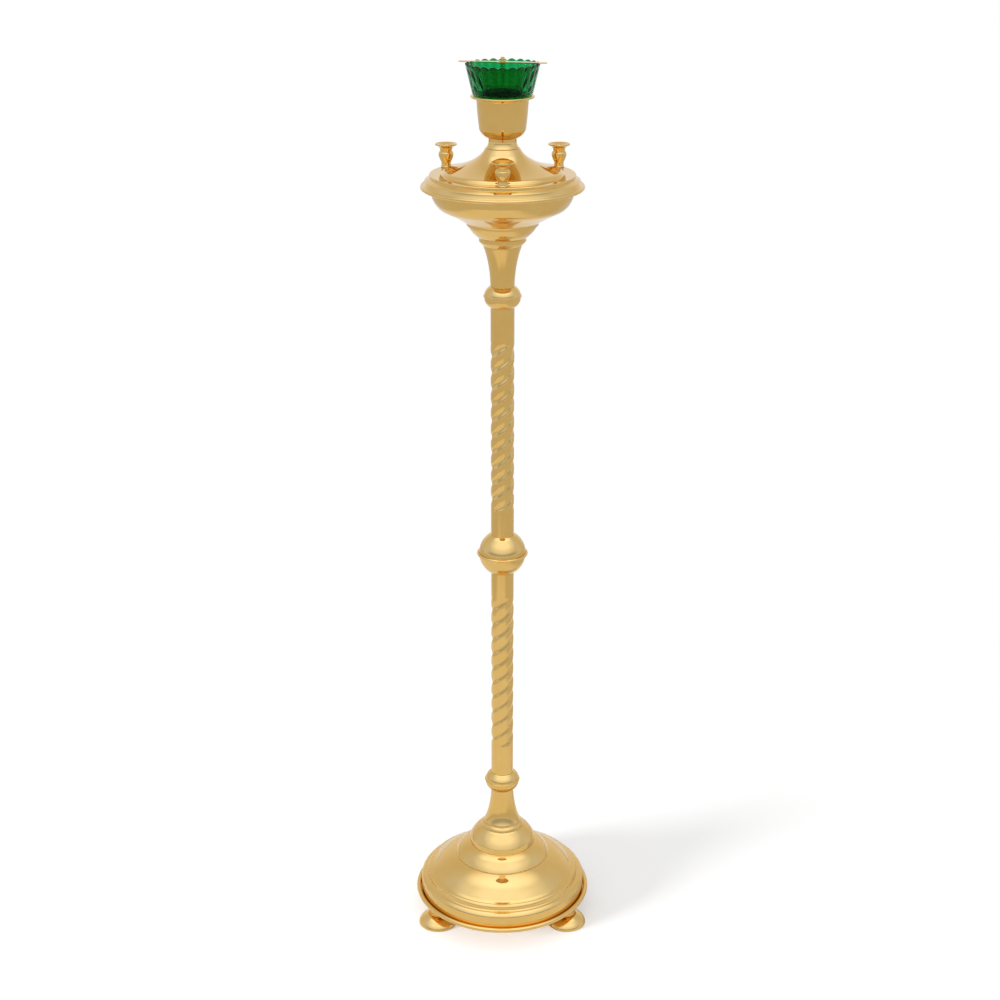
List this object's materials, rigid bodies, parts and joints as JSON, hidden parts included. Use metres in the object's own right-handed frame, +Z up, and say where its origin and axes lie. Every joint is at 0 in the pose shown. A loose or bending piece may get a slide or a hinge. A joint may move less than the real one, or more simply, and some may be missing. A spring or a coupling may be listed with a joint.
{
  "type": "processional candle stand",
  "caption": "Tall brass church candle stand with a footed dome base, spiral column, drip pan with candle sockets and a green lamp glass.",
  "frame": {"origin": "on the floor, on the axis of the column", "axes": "+Z up along the column, the front candle socket faces -Y, +X to the right as seen from the front"},
  "size_m": [0.2, 0.2076, 0.9753],
  "materials": {
    "gilt_brass": "polished and lacquered",
    "plated_steel": "zinc plated",
    "ballast_iron": "raw casting",
    "green_glass": "clear, deep green"
  },
  "bodies": {
    "stand": {"foot_left": "gilt_brass", "foot_right": "gilt_brass", "foot_rear": "gilt_brass", "base_plate": "gilt_brass", "base_dome": "gilt_brass", "base_collar": "gilt_brass", "base_cone": "gilt_brass", "lower_knop_bottom": "gilt_brass", "lower_knop_top": "gilt_brass", "lower_tube": "gilt_brass", "lower_tube_foot_bush": "gilt_brass", "lower_tube_head_bush": "gilt_brass", "ball_bottom": "gilt_brass", "ball_band": "gilt_brass", "ball_top": "gilt_brass", "upper_tube": "gilt_brass", "upper_tube_foot_bush": "gilt_brass", "upper_tube_head_bush": "gilt_brass", "upper_knop_bottom": "gilt_brass", "upper_knop_top": "gilt_brass", "trumpet": "gilt_brass", "bowl_collar": "gilt_brass", "bowl": "gilt_brass", "drip_pan": "gilt_brass", "socket_front": "gilt_brass", "socket_left": "gilt_brass", "socket_right": "gilt_brass", "cup_foot": "gilt_brass", "lamp_cup": "gilt_brass", "foot_screws": "plated_steel", "base_washer": "plated_steel", "base_nut": "plated_steel", "tie_rod": "plated_steel", "socket_screws": "plated_steel", "cup_washer": "plated_steel", "cup_nut": "plated_steel", "base_ballast": "ballast_iron"},
    "glass": {"lamp_glass": "green_glass"},
    "wick_holder": {"wick_bar": "gilt_brass", "wick_tube": "gilt_brass"}
  },
  "joints": [
    {"name": "glass_lift", "type": "slide", "parent": "stand", "child": "glass", "axis": [0, 0, 1], "range_m": [0, 0.07]},
    {"name": "wick_bar_lift", "type": "slide", "parent": "glass", "child": "wick_holder", "axis": [0, 0, 1], "range_m": [0, 0.05]}
  ]
}
